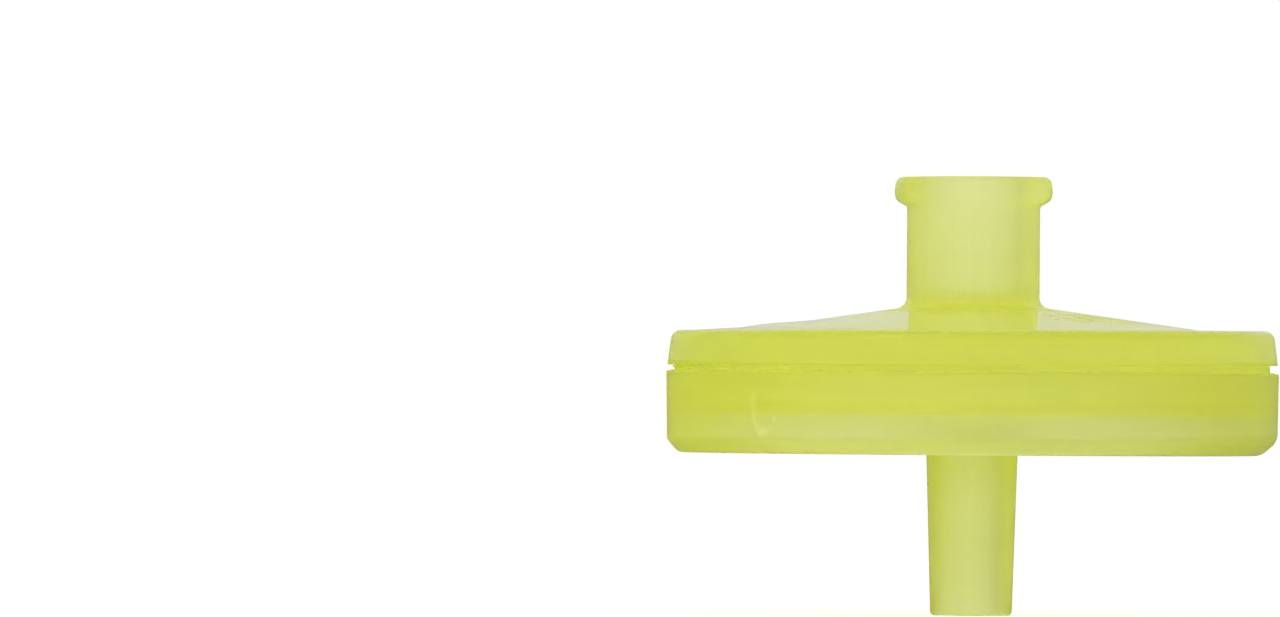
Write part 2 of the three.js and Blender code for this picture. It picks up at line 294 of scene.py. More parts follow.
outside = (row_radius > SKIRT_RADIUS - 0.05) & (row_height < JOINT - LIP_DEPTH)
from_scar = CUP_RADIUS * (cup_angles - SCAR_ANGLE)[:, None]
scar_out, scar_pale = gate_scar(from_scar, cup_height - SCAR_HEIGHT)
cup_radius = cup_radius + outside * scar_out
lip = (row_radius > CUP_RADIUS - 0.15) & (row_height > JOINT - LIP_DEPTH)
cup_height = cup_height + lip * (LIP_RAGGEDNESS * wavy(cup_angles, 8, 3) - LIP_SINK)[:, None]

in_cup = (row_height > CUP_FLOOR - NEAR) & (row_radius < BEAD_RADIUS - 0.04)
in_recess = row_radius < SKIRT_BORE_RADIUS + 0.1
on_nozzle = (row_height < RECESS_TOP - 0.5) & (row_radius > 1.5) & (row_radius < 3)
cup_marks = {"core_side": (in_cup | in_recess) & ~on_nozzle, "torn": outside * scar_pale}
cup = turned_piece("outlet_shell", cup_radius, cup_height, cup_angles, cup_marks)
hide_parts("outlet_housing")
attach(cup, "root")

# ---- Inlet housing --------------------------------------------------------------------
# The upper moulding: a rim, a shallow cone and a tube with a female luer bore and two ears.
# Four sector ports lead through the bore's floor. A plug below nests in the cup and clamps
# the membrane. It was welded on a quarter of a degree out of true.

PLUG_CLEARANCE = 0.15
GROOVE_HEIGHT = 0.35              # the open groove round the weld
GROOVE_DEPTH = 0.45
RIM_HEIGHT = 1.7
RIM_SETBACK = 0.05
RIM_DRAFT = 0.22
CONE_FOOT_RADIUS = 11.32
CONE_RISE = 1.15
TUBE_RADIUS = 3.26
TUBE_ROWS = 46                    # along the tube's outside and over its end
MOUTH_RADIUS = 2.15
LEAD_IN = 0.13
BORE_DEPTH = 5.95
CHAMBER_DEPTH = 0.55
CHAMBER_RISE = 0.95
PORT_OUTER, PORT_INNER = 1.65, 0.85
PORT_HALF_ANGLE = 20
PORT_ROWS = 4
EAR_NOSE = 3.88
EAR_DRAFT = 0.08
EAR_NOSE_DROP = 0.76              # drops are measured from the top
EAR_EDGE_DROP = 1.16
EAR_ROOT_DROP = 1.46
EAR_SIDES = (21, 44)              # degrees from its middle, where it starts to fade and ends
LEFT_RISE = 0.15                  # the cone is fuller at the left
LEFT_RISE_OUTER = (14.3, 10.6)    # radii over which it rises, and over which it falls again
LEFT_RISE_INNER = (7.6, 10.5)
LOW_FLASH = (0.08, 0.08, 0.03, 0.006)  # height, reach, size and raggedness
HIGH_FLASH = (-0.06, 0.1, 0.16, 0.002)
WELD_TILT = np.radians(0.25)

inlet_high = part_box("inlet_housing")[1]
INLET_TOP = inlet_high.z / MM
PLUG_RADIUS = CUP_BORE_RADIUS - PLUG_CLEARANCE
PLUG_END = membrane_high.z / MM + MEMBRANE_GAP
WELD_FACE = JOINT + MEMBRANE_GAP
RIM_BOTTOM = JOINT + GROOVE_HEIGHT
RIM_TOP = RIM_BOTTOM + RIM_HEIGHT
RIM_RADIUS = CUP_RADIUS - RIM_SETBACK
NECK_RADIUS = CUP_RADIUS - GROOVE_DEPTH
CONE_TOP = RIM_TOP + CONE_RISE
BORE_FLOOR = INLET_TOP - BORE_DEPTH
BORE_FLOOR_RADIUS = MOUTH_RADIUS - LUER_SLOPE * BORE_DEPTH
CEILING_EDGE = membrane_high.z / MM + CHAMBER_DEPTH
CEILING_CENTRE = CEILING_EDGE + CHAMBER_RISE


def ceiling(radius):
    """Height of the chamber's ceiling, a very flat cone."""
    return CEILING_CENTRE + (CEILING_EDGE - CEILING_CENTRE) * radius / CLAMP_RADIUS


def inlet_outline(ear):
    """The inlet's outline from the middle of the ceiling to the middle of the bore's floor.
    With ear it bulges out near the top; the same rows lie flat on the tube without."""
    nose = EAR_NOSE if ear else TUBE_RADIUS
    edge = nose - EAR_DRAFT * ear
    corners = [
        (0, ceiling(0), 0, 4),
        (PORT_INNER, ceiling(PORT_INNER), 0, PORT_ROWS),
        (PORT_OUTER, ceiling(PORT_OUTER), 0, 14),
        (CLAMP_RADIUS, ceiling(CLAMP_RADIUS), 0, 2),
        (CLAMP_RADIUS, PLUG_END, 0.08, 2),
        (PLUG_RADIUS, PLUG_END, 0.08, 2),
        (PLUG_RADIUS, WELD_FACE, 0, 2),
        (NECK_RADIUS, WELD_FACE, 0.03, 4),
        (NECK_RADIUS, RIM_BOTTOM, 0.05, 2),
        (RIM_RADIUS, RIM_BOTTOM, 0.05, 6),
        (RIM_RADIUS - RIM_DRAFT, RIM_TOP, 0.5, 8),
        (CONE_FOOT_RADIUS, RIM_TOP, 0, 24),
        (TUBE_RADIUS, CONE_TOP, 0.55, 10),
        (TUBE_RADIUS, INLET_TOP - EAR_ROOT_DROP, 0.12 if ear else 0, 3),
        (edge, INLET_TOP - EAR_EDGE_DROP, 0.32 if ear else 0, 2),
        (nose, INLET_TOP - EAR_NOSE_DROP, 0, 3),
        (edge, INLET_TOP, 0.38 if ear else 0.12, 4),
        (MOUTH_RADIUS + LEAD_IN, INLET_TOP, 0.04, 1),
        (MOUTH_RADIUS, INLET_TOP - LEAD_IN, 0.04, 12),
        (BORE_FLOOR_RADIUS, BORE_FLOOR, 0.04, 1),
        (PORT_OUTER, BORE_FLOOR, 0, PORT_ROWS),
        (PORT_INNER, BORE_FLOOR, 0, 4),
        (0, BORE_FLOOR, 0, 0),
    ]
    return rounded_outline(corners)


def resampled(outline, count):
    """The same outline with `count` points spread evenly along its length."""
    steps = np.linalg.norm(np.diff(outline, axis=0), axis=1)
    along = np.concatenate([[0], np.cumsum(steps)])
    even = np.linspace(0, along[-1], count)
    return np.stack([np.interp(even, along, outline[:, k]) for k in (0, 1)], axis=1)


def even_tube_rows(outline):
    """The outline with its rows from above the cone's foot to the top face's end spread evenly,
    so that the outlines with and without an ear have as many rows."""
    on_tube = (outline[:, 1] > CONE_TOP + 1) & (outline[:, 0] > TUBE_RADIUS - 0.26)
    start = np.argmax(on_tube)
    end = np.flatnonzero(outline[:, 1] >= INLET_TOP - 1e-6)[-1] + 1
    tube = resampled(outline[start:end], TUBE_ROWS)
    return np.concatenate([outline[:start], tube, outline[end:]])


inlet_angles = np.radians(np.arange(360))
with_ear, without_ear = even_tube_rows(inlet_outline(True)), even_tube_rows(inlet_outline(False))
row_radius, row_height = without_ear.T
from_ear = np.abs((np.degrees(inlet_angles) - EAR_TURN + 90) % 180 - 90)
eariness = (1 - smooth_step(*EAR_SIDES, from_ear))[:, None]
inlet_radius = row_radius + (with_ear - without_ear)[:, 0] * eariness
inlet_height = row_height + (with_ear - without_ear)[:, 1] * eariness

on_cone = (inlet_height > RIM_TOP - 0.02) & (inlet_radius > TUBE_RADIUS + 0.2)
leftness = smooth_step(0.2, 0.95, -np.cos(inlet_angles))[:, None]
rise = smooth_step(*LEFT_RISE_OUTER, inlet_radius) * smooth_step(*LEFT_RISE_INNER, inlet_radius)
inlet_height = inlet_height + on_cone * leftness * LEFT_RISE * rise

in_groove = (inlet_radius > NECK_RADIUS - 0.1) & (inlet_radius < NECK_RADIUS + 0.02)
in_groove &= (inlet_height > WELD_FACE + 0.02) & (inlet_height < RIM_BOTTOM - 0.02)
place, reach, size, raggedness = LOW_FLASH
low_flash = np.exp(-((inlet_height - WELD_FACE - place) / reach) ** 2)
flash = low_flash * (size + raggedness * wavy(inlet_angles, 8, 5))[:, None]
place, reach, size, raggedness = HIGH_FLASH
high_flash = np.exp(-((inlet_height - RIM_BOTTOM - place) / reach) ** 2)
flash = flash + high_flash * (size * leftness + raggedness * wavy(inlet_angles, 8, 6)[:, None])
inlet_radius = inlet_radius + in_groove * flash

above_weld = smooth_step(WELD_FACE, RIM_BOTTOM, inlet_height)
to_right = inlet_radius * np.cos(inlet_angles)[:, None]
inlet_height = inlet_height + above_weld * to_right * WELD_TILT

over_ports = row_radius <= PORT_OUTER
upper_rows = np.flatnonzero(over_ports & (row_height == BORE_FLOOR))[:PORT_ROWS + 1]
lower_rows = np.flatnonzero(over_ports & (row_height < CEILING_CENTRE + NEAR))[-PORT_ROWS - 1:]
ports = []
for quarter_turn in range(4):
    first = round(EAR_TURN) - PORT_HALF_ANGLE + 90 * quarter_turn
    port_columns = np.arange(first, first + 2 * PORT_HALF_ANGLE) % 360
    ports.append((port_columns, upper_rows, lower_rows))

inlet_core = (row_height < JOINT + 0.1) | (row_radius < MOUTH_RADIUS + LEAD_IN - NEAR)
inlet_core |= (row_height < CEILING_CENTRE + 0.1) & (row_radius < CLAMP_RADIUS + NEAR)
inlet_marks = {"core_side": inlet_core}
inlet = turned_piece("inlet_shell", inlet_radius, inlet_height, inlet_angles, inlet_marks, ports)
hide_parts("inlet_housing")
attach(inlet, "root")

# ---- Polypropylene --------------------------------------------------------------------
# Both mouldings are one tinted, slightly milky plastic, though the outlet's tint is darker as
# painted shade, and painted shade and sheen deepen or pale the tint in places. Flat faces are
# polished, walls were dragged along the mould and are duller, and the faces that the core made are
# matt.

# darker than the inlet's tint: painted shade on the lower moulding
OUTLET_TINT = (0.745, 0.80, 0.43, 1)
INLET_TINT = (0.82, 0.875, 0.47, 1)
SKIRT_SHADE_AND_SHEEN = (0.69, 0.742, 0.49, 1)  # painted shade and sheen: the skirt band is darker in red and green and paler in blue
# painted sheen: the rim band's tint is paler in blue
RIM_PAINTED_SHEEN = (0.82, 0.875, 0.56, 1)
CORE_TINT = (1.0, 1.0, 1.0, 1)
PALE_TINT = (0.97, 0.97, 0.88, 1)  # bruised plastic
TORN_TINT = (0.85, 0.87, 0.76, 1)
DEEP_TINT = (0.67, 0.745, 0.22, 1)  # painted shade at rounded corners, the chamfer and the nozzle's root in the recess; also deeper towards the left and in the gate's dish
END_PAINTED_SHADE = (0.80, 0.87, 0.18, 1)  # painted shade: the tint deepens at the left and right ends
DEPTH_TINT = (1.0, 1.0, 0.35, 1)
OUTLET_PIGMENT = 450
INLET_PIGMENT = 230
MILKINESS = 250
FORWARD_SCATTER = 0.6
PLASTIC_IOR = 1.49

CORNER_SHADE = 0.8                # shares of the deep tint; at corners, chamfer and nozzle root it is painted shade
CHAMFER_SHADE = 0.4
LEFT_SIDE_DEPTH = 0.3
NOZZLE_ROOT_SHADE = 0.4
END_SHADE_SHARE = 0.7                   # shares of the painted end shade: left and rim, and right wall
RIGHT_WALL_SHADE_SHARE = 0.15
KNIT_PALENESS = 0.25
BRUISE_PALENESS = 0.35
TORN_PALENESS = 0.8
CLOUD_SHADE = 0.955               # how dark each pattern makes the tint where it is darkest
LINE_SHADE = 0.965
GRAIN_SHADE = 0.975
SPECK_SHADE = 0.55

FACE_ROUGHNESS = 0.14
WALL_ROUGHNESS = 0.36
GROOVE_ROUGHNESS = 0.75           # the weld left its faces matt
CORE_ROUGHNESS = 0.6
BORE_ROUGHNESS = 0.3              # both bores were turned smoother than the rest of the core
SCUFF_DULLNESS = 0.35             # added to the roughness
PALE_DULLNESS = 0.3
GRAIN_DULLNESS = 0.12
PEEL_DEPTH = 0.0004 * MM
LINE_DEPTH = 0.0003 * MM
SCUFF_DEPTH = 0.004 * MM

CLOUD_SCALE = (160, 160, 420)     # features to a metre along x, y and z
CRUMBLE_SCALE = (1300, 1300, 1300)
RING_SCALE = (60, 60, 4500)
STREAK_SCALE = (3000, 3000, 50)
GRAIN_SCALE = (14000, 14000, 14000)
PEEL_SCALE = (1800, 1800, 1800)
WHOLE = (0, 1)
MIDDLE = (0.3, 0.7)               # where most of a noise lies


def feed(tree, socket, value):
    """Links a socket into another, or gives it a number, vector or colour."""
    if isinstance(value, bpy.types.NodeSocket):
        tree.links.new(value, socket)
    else:
        socket.default_value = value


def add_math(tree, operation, *values):
    """One Math node; each value may be a number or a socket."""
    node = tree.nodes.new("ShaderNodeMath")
    node.operation = operation
    for socket, value in zip(node.inputs, values):
        feed(tree, socket, value)
    return node.outputs[0]


def add_product(tree, first, *others):
    """Masks multiplied together; they are sockets or numbers."""
    for other in others:
        first = add_math(tree, "MULTIPLY", first, other)
    return first


def add_ramp(tree, value, span, low, high):
    """A smooth ramp of a value over a span; its ends may be numbers or sockets."""
    ramp = tree.nodes.new("ShaderNodeMapRange")
    ramp.interpolation_type = "SMOOTHSTEP"
    for name, given in zip(("From Min", "From Max", "To Min", "To Max"), (*span, low, high)):
        feed(tree, ramp.inputs[name], given)
    tree.links.new(value, ramp.inputs["Value"])
    return ramp.outputs[0]


def add_noise(tree, place, stretch, detail=2):
    """Noise whose features measure 1/stretch metres along each axis; returns its value."""
    scaled = tree.nodes.new("ShaderNodeVectorMath")
    scaled.operation = "MULTIPLY"
    scaled.inputs[1].default_value = stretch
    tree.links.new(place, scaled.inputs[0])
    noise = tree.nodes.new("ShaderNodeTexNoise")
    noise.inputs["Scale"].default_value = 1
    noise.inputs["Detail"].default_value = detail
    tree.links.new(scaled.outputs[0], noise.inputs["Vector"])
    return noise.outputs["Fac"]


def add_mix(tree, share, first, second):
    """A mix of two colours, each given as a colour or a socket."""
    mix = tree.nodes.new("ShaderNodeMix")
    mix.data_type = "RGBA"
    for index, value in ((0, share), (6, first), (7, second)):
        feed(tree, mix.inputs[index], value)
    return mix.outputs[2]


def add_bump(tree, height, depth, normal=None):
    """Bump by a height from 0 to 1 that stands for a depth in metres."""
    bump = tree.nodes.new("ShaderNodeBump")
    bump.inputs["Strength"].default_value = 1
    bump.inputs["Distance"].default_value = depth
    tree.links.new(height, bump.inputs["Height"])
    if normal is not None:
        tree.links.new(normal, bump.inputs["Normal"])
    return bump.outputs[0]


def add_place(tree, spot):
    """The three parts of a place, and its distance from the axis, sqrt(x^2 + y^2)."""
    parts = tree.nodes.new("ShaderNodeSeparateXYZ")
    tree.links.new(spot, parts.inputs[0])
    x, y, z = parts.outputs
    square = add_math(tree, "MULTIPLY", x, x)
    square = add_math(tree, "MULTIPLY_ADD", y, y, square)
    return x, y, z, add_math(tree, "SQRT", square)


def span(low, high, above=0.0):
    """Two lengths in millimetres, above a level if one is given, as a span in metres."""
    return (above + low) * MM, (above + high) * MM


def moulding_and_shade_group():
    """Node group: what moulding and handling leave on the plastic over the whole surface, and
    painted shade and sheen.

    Clouds in the tint; faint rings round the wide walls and faint streaks along the tube and
    the nozzle; orange peel; scuffs and pale knit lines on the cone; pale torn plastic."""
    tree = bpy.data.node_groups.new("moulding_and_shade", "ShaderNodeTree")
    for socket, kind in (("Core", "Float"), ("Torn", "Float"), ("Tint", "Color")):
        tree.interface.new_socket(socket, in_out="INPUT", socket_type="NodeSocket" + kind)
    for socket, kind in (("Colour", "Color"), ("Roughness", "Float"), ("Normal", "Vector")):
        tree.interface.new_socket(socket, in_out="OUTPUT", socket_type="NodeSocket" + kind)
    given = tree.nodes.new("NodeGroupInput").outputs
    made = tree.nodes.new("NodeGroupOutput").inputs
    texture_place = tree.nodes.new("ShaderNodeTexCoord")
    spot = texture_place.outputs["Object"]
    x, y, z, radius = add_place(tree, spot)
    facing = tree.nodes.new("ShaderNodeSeparateXYZ")
    tree.links.new(texture_place.outputs["Normal"], facing.inputs[0])
    upward = facing.outputs["Z"]

    # patterns
    clouds = add_noise(tree, spot, CLOUD_SCALE, 4)
    crumbled = add_noise(tree, spot, CRUMBLE_SCALE, 6)
    rings = add_noise(tree, spot, RING_SCALE, 3)
    streaks = add_noise(tree, spot, STREAK_SCALE, 3)
    grain = add_noise(tree, spot, GRAIN_SCALE, 2)
    peel = add_noise(tree, spot, PEEL_SCALE, 2)

    # where things are: the wide walls, the cone, the skirt, the rim, the groove, the bores
    wide = add_ramp(tree, radius, span(6, 8), 0, 1)
    lines = add_ramp(tree, wide, WHOLE, streaks, rings)
    above_rim = add_ramp(tree, z, span(-0.2, 0, RIM_TOP), 0, 1)
    beyond_tube = add_ramp(tree, radius, span(3.6, 4.0), 0, 1)
    flat = add_product(tree, add_ramp(tree, upward, (0.5, 0.95), 0, 1), above_rim)
    cone = add_product(tree, flat, beyond_tube)
    skirt = add_ramp(tree, z, span(-0.2, 0, RECESS_TOP), 1, 0)
    rim = add_ramp(tree, z, span(0.1, 0.5, RIM_BOTTOM), 0, 1)
    over_lip = add_ramp(tree, z, span(-0.12, -0.04, JOINT), 0, 1)
    under_rim = add_ramp(tree, z, span(0.1, 0.2, RIM_BOTTOM), 1, 0)
    groove = add_product(tree, over_lip, under_rim, wide)
    above_bore_floor = add_ramp(tree, z, span(-0.2, 0, BORE_FLOOR), 0, 1)
    luer = add_product(tree, above_bore_floor, add_ramp(tree, radius, span(2.2, 2.4), 1, 0))
    tip_bore = add_product(tree, skirt, add_ramp(tree, radius, span(1.2, 1.3), 1, 0))
    bores = add_math(tree, "MAXIMUM", luer, tip_bore)

    # marks on the cone: knit lines between the ports, a bruised collar, scuffs at the right
    angle = add_math(tree, "ARCTAN2", y, x)
    quarter = add_math(tree, "MULTIPLY_ADD", angle, 4.0, float(np.radians(-4 * EAR_TURN)))
    knit = add_ramp(tree, add_math(tree, "COSINE", quarter), (0.99, 1.0), 0, KNIT_PALENESS)
    collar = add_product(tree, cone, add_ramp(tree, radius, span(4.6, 5.4), 1, 0))
    bruise = add_ramp(tree, crumbled, (0.5, 0.62), 0, BRUISE_PALENESS)
    bruise = add_product(tree, bruise, collar)
    pale = add_product(tree, add_math(tree, "MAXIMUM", knit, bruise), cone)
    rightness = add_ramp(tree, x, span(0, 6), -0.06, 0.05)
    patchy = add_math(tree, "MULTIPLY_ADD", clouds, 0.5, add_product(tree, crumbled, 0.5))
    patchy = add_math(tree, "ADD", patchy, rightness)
    scuff = add_product(tree, add_ramp(tree, patchy, (0.52, 0.58), 0, 1), cone,
                        add_ramp(tree, radius, span(6, 11), 1, 0),
                        add_ramp(tree, radius, span(4.6, 6), 0, 1))

    # the tint: its own for skirt and rim, which are painted shade and sheen, and painted shade at
    # the left and right ends, then shaded by the patterns
    # painted shade and sheen on the skirt band
    banded = add_mix(tree, add_product(tree, wide, skirt), given["Tint"], SKIRT_SHADE_AND_SHEEN)
    # painted sheen on the rim band
    banded = add_mix(tree, add_product(tree, wide, rim), banded, RIM_PAINTED_SHEEN)
    right_share = add_ramp(tree, rim, WHOLE, RIGHT_WALL_SHADE_SHARE, END_SHADE_SHARE)
    # painted shade: the tint deepens towards the left and right ends
    left_end = add_ramp(tree, x, span(-14.8, -11.8), END_SHADE_SHARE, 0)
    right_end = add_ramp(tree, x, span(11.8, 14.8), 0, right_share)
    ends = add_product(tree, add_math(tree, "MAXIMUM", left_end, right_end), wide)
    banded = add_mix(tree, ends, banded, END_PAINTED_SHADE)
    foot = add_ramp(tree, z, span(0.1, 0.3, FOOT), 1, 0)
    specks = add_product(tree, add_ramp(tree, crumbled, (0.6, 0.66), 0, 1), foot,
                         add_ramp(tree, x, span(-9, -6), 1, 0))
    shade = add_product(tree, add_ramp(tree, clouds, MIDDLE, CLOUD_SHADE, 1.0),
                        add_ramp(tree, lines, MIDDLE, LINE_SHADE, 1.0),
                        add_ramp(tree, grain, MIDDLE, GRAIN_SHADE, 1.0),
                        add_ramp(tree, specks, WHOLE, 1.0, SPECK_SHADE))
    tint = tree.nodes.new("ShaderNodeVectorMath")
    tint.operation = "SCALE"
    tree.links.new(banded, tint.inputs[0])
    tree.links.new(shade, tint.inputs["Scale"])

    # painted shade at corners, chamfer and nozzle root; deeper towards the left and in the gate's
    # dish; pale where bruised or torn
    # painted shade on sloping rounded edges and on the down-facing chamfer
    corner = add_ramp(tree, upward, (0.1, 0.4), 0, CORNER_SHADE)
    corner = add_product(tree, corner, add_ramp(tree, upward, (0.8, 0.98), 1, 0))
    chamfer = add_ramp(tree, upward, (-0.5, -0.3), CHAMFER_SHADE, 0)
    chamfer = add_product(tree, chamfer, skirt)
    left_side = add_ramp(tree, x, span(-14, -8), LEFT_SIDE_DEPTH, 0)
    deep = add_math(tree, "MAXIMUM", add_math(tree, "MAXIMUM", corner, chamfer), left_side)
    deep = add_product(tree, deep, wide)
    # painted shade on the nozzle's root inside the recess
    root = add_product(tree, add_ramp(tree, z, span(-0.1, 0.1, FOOT), 0, NOZZLE_ROOT_SHADE),
                       skirt, add_ramp(tree, radius, span(2.6, 3.2), 1, 0))
    deep = add_math(tree, "MAXIMUM", deep, root)
    deep = add_math(tree, "MAXIMUM", deep, add_ramp(tree, given["Torn"], (-1, 0), 1, 0))
    torn = add_math(tree, "MAXIMUM", add_product(tree, given["Torn"], TORN_PALENESS), 0)
    skin = add_mix(tree, deep, tint.outputs[0], DEEP_TINT)
    skin = add_mix(tree, pale, skin, PALE_TINT)
    skin = add_mix(tree, torn, skin, TORN_TINT)
    tree.links.new(add_mix(tree, given["Core"], skin, CORE_TINT), made["Colour"])

    # roughness
    polished = add_product(tree, cone, add_ramp(tree, radius, span(4.2, 5.2), 0, 1))
    marred = add_math(tree, "MAXIMUM", pale, torn)
    dull = add_ramp(tree, polished, WHOLE, WALL_ROUGHNESS, FACE_ROUGHNESS)
    dull = add_math(tree, "MULTIPLY_ADD", scuff, SCUFF_DULLNESS, dull)
    dull = add_math(tree, "MULTIPLY_ADD", marred, PALE_DULLNESS, dull)
    dull = add_math(tree, "MULTIPLY_ADD", groove, GROOVE_ROUGHNESS - WALL_ROUGHNESS, dull)
    dull = add_ramp(tree, given["Core"], WHOLE, dull, CORE_ROUGHNESS)
    dull = add_ramp(tree, bores, WHOLE, dull, BORE_ROUGHNESS)
    uneven = add_math(tree, "SUBTRACT", grain, 0.5)
    dull = add_math(tree, "MULTIPLY_ADD", uneven, GRAIN_DULLNESS, dull)
    tree.links.new(dull, made["Roughness"])

    # relief
    normal = add_bump(tree, peel, PEEL_DEPTH)
    normal = add_bump(tree, lines, LINE_DEPTH, normal)
    normal = add_bump(tree, add_product(tree, crumbled, scuff), SCUFF_DEPTH, normal)
    tree.links.new(normal, made["Normal"])
    return tree


moulding_and_shade = moulding_and_shade_group()


def new_material(name):
    """A new material with its node tree and its shader."""
    material = bpy.data.materials.new(name)
    material.use_nodes = True
    return material, material.node_tree, material.node_tree.nodes["Principled BSDF"]


def plastic_material(name, tint, pigment):
    """Clear plastic whose skin is tinted, with milky scatter and pigment in its depth."""
    material, tree, shader = new_material(name)
    nodes, links = tree.nodes, tree.links
    shader.inputs["IOR"].default_value = PLASTIC_IOR
    shader.inputs["Transmission Weight"].default_value = 1.0
    marks = nodes.new("ShaderNodeGroup")
    marks.node_tree = moulding_and_shade
    marks.inputs["Tint"].default_value = tint
    for socket, layer in (("Core", "core_side"), ("Torn", "torn")):
        mark = nodes.new("ShaderNodeAttribute")
        mark.attribute_name = layer
        links.new(mark.outputs["Fac"], marks.inputs[socket])
    links.new(marks.outputs["Colour"], shader.inputs["Base Color"])
    links.new(marks.outputs["Roughness"], shader.inputs["Roughness"])
    links.new(marks.outputs["Normal"], shader.inputs["Normal"])
    absorption = nodes.new("ShaderNodeVolumeAbsorption")
    absorption.inputs["Color"].default_value = DEPTH_TINT
    absorption.inputs["Density"].default_value = pigment
    scatter = nodes.new("ShaderNodeVolumeScatter")
    scatter.inputs["Color"].default_value = (1, 1, 1, 1)
    scatter.inputs["Density"].default_value = MILKINESS
    scatter.inputs["Anisotropy"].default_value = FORWARD_SCATTER
    both = nodes.new("ShaderNodeAddShader")
    links.new(absorption.outputs[0], both.inputs[0])
    links.new(scatter.outputs[0], both.inputs[1])
    links.new(both.outputs[0], nodes["Material Output"].inputs["Volume"])
    return material


cup.data.materials.append(plastic_material("outlet_polypropylene", OUTLET_TINT, OUTLET_PIGMENT))
inlet.data.materials.append(plastic_material("inlet_polypropylene", INLET_TINT, INLET_PIGMENT))

# ---- Weld crumbs ----------------------------------------------------------------------
# Small crumbs of flash that the weld squeezed out into the groove, along the left of the
# front. They are the mouldings' own plastic and lie on the cup's lip, against the neck.

CRUMB_COUNT = 18
CRUMB_ARC = (183, 262)            # degrees
CRUMB_SIZES = (0.02, 0.065)       # half their width
CRUMB_STRETCH = ((0.6, 1.3), (0.7, 1.9), (0.45, 0.8))  # across, along and up
CRUMB_FROM_NECK = 0.14
CRUMB_SPREAD = 0.14               # how much further out the smallest may lie
CRUMB_LUMPINESS = 0.15
CRUMB_TURN = 0.4                  # radians
CRUMB_LIFT = 0.6
CRUMB_ROWS = 8                    # of points from pole to pole, and round it
CRUMB_TINT = (0.93, 0.95, 0.66, 1)
CRUMB_NOISE_SCALE = (2500, 2500, 2500)
CRUMB_ROUGHNESS = (0.4, 0.7)


def crumb_mesh(name, count):
    """Lumps on the cup's lip. Each is a closed ball of rings of points, whose points are pushed
    out by random amounts, then stretched, turned along the lip and set down."""
    rng = np.random.default_rng(11)
    size = rng.uniform(*CRUMB_SIZES, count) * rng.uniform(0.5, 1, count)
    angle = np.radians(rng.uniform(*CRUMB_ARC, count))
    further = rng.uniform(0, CRUMB_SPREAD, count) * (1 - size / CRUMB_SIZES[1])
    radius = NECK_RADIUS + CRUMB_FROM_NECK + size + further
    stretch = np.stack([rng.uniform(*limits, count) for limits in CRUMB_STRETCH], 1)
    down = np.linspace(0, np.pi, CRUMB_ROWS)[:, None]
    round_it = np.linspace(0, 2 * np.pi, CRUMB_ROWS, endpoint=False)[None]
    ball = np.stack([np.sin(down) * np.cos(round_it), np.sin(down) * np.sin(round_it),
                     np.cos(down) + 0 * round_it], 2)
    lumps = rng.normal(1, CRUMB_LUMPINESS, (count, CRUMB_ROWS, CRUMB_ROWS, 1))
    lumps[:, [0, -1]] = 1
    local = ball * lumps * (stretch * size[:, None])[:, None, None]
    turn = angle + rng.normal(0, CRUMB_TURN, count)
    cos, sin = np.cos(turn)[:, None, None], np.sin(turn)[:, None, None]
    x = local[..., 0] * cos - local[..., 1] * sin + (radius * np.cos(angle))[:, None, None]
    y = local[..., 0] * sin + local[..., 1] * cos + (radius * np.sin(angle))[:, None, None]
    z = local[..., 2] + (JOINT + CRUMB_LIFT * size)[:, None, None]
    number = np.arange(lumps.size).reshape(count, CRUMB_ROWS, CRUMB_ROWS)
    beside = np.roll(number, -1, axis=2)
    upper, lower = slice(1, -2), slice(2, -1)
    sides = np.stack([number[:, upper], number[:, lower], beside[:, lower], beside[:, upper]], 3)
    top = np.broadcast_to(number[:, 0, :1], (count, CRUMB_ROWS))
    bottom = np.broadcast_to(number[:, -1, :1], (count, CRUMB_ROWS))
    caps = np.concatenate([np.stack([top, number[:, 1], beside[:, 1]], 2),
                           np.stack([bottom, beside[:, -2], number[:, -2]], 2)])
    return mesh_of(name, np.stack([x, y, z], 3), sides, caps)[0]


crumbs = add_object("weld_crumbs", crumb_mesh("weld_crumbs", CRUMB_COUNT))
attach(crumbs, "root")
flake, flake_tree, flake_shader = new_material("weld_flash")
flake_shader.inputs["IOR"].default_value = PLASTIC_IOR
flake_shader.inputs["Transmission Weight"].default_value = 1.0
flake_spot = flake_tree.nodes.new("ShaderNodeTexCoord").outputs["Object"]
flake_noise = add_noise(flake_tree, flake_spot, CRUMB_NOISE_SCALE, 3)
flake_tone = add_mix(flake_tree, flake_noise, CRUMB_TINT, OUTLET_TINT)
flake_dull = add_ramp(flake_tree, flake_noise, MIDDLE, *CRUMB_ROUGHNESS)
flake_tree.links.new(flake_tone, flake_shader.inputs["Base Color"])
flake_tree.links.new(flake_dull, flake_shader.inputs["Roughness"])
crumbs.data.materials.append(flake)

# ---- Membrane -------------------------------------------------------------------------
# A punched disc of white microporous film, clamped round its edge. It is the CAD piece: its
# surface is finely fibrous, and painted shade shows the rings below as faintly duller circles.

FILM_TINT = (0.93, 0.93, 0.90, 1)
FILM_SHADE = (0.84, 0.85, 0.80, 1)
# painted shade over the drain rings under the film
RING_PAINTED_SHADE = (0.80, 0.81, 0.74, 1)
RING_SHARE = 0.5
RING_EDGE = (0.38, 0.44)          # where a ring ends, as shares of the step between rings
FILM_ROUGHNESS = (0.75, 0.95)
FIBRE_SCALE = (9000, 9000, 9000)
BLOTCH_SCALE = (300, 300, 300)
FILM_GRAIN_DEPTH = 0.004 * MM

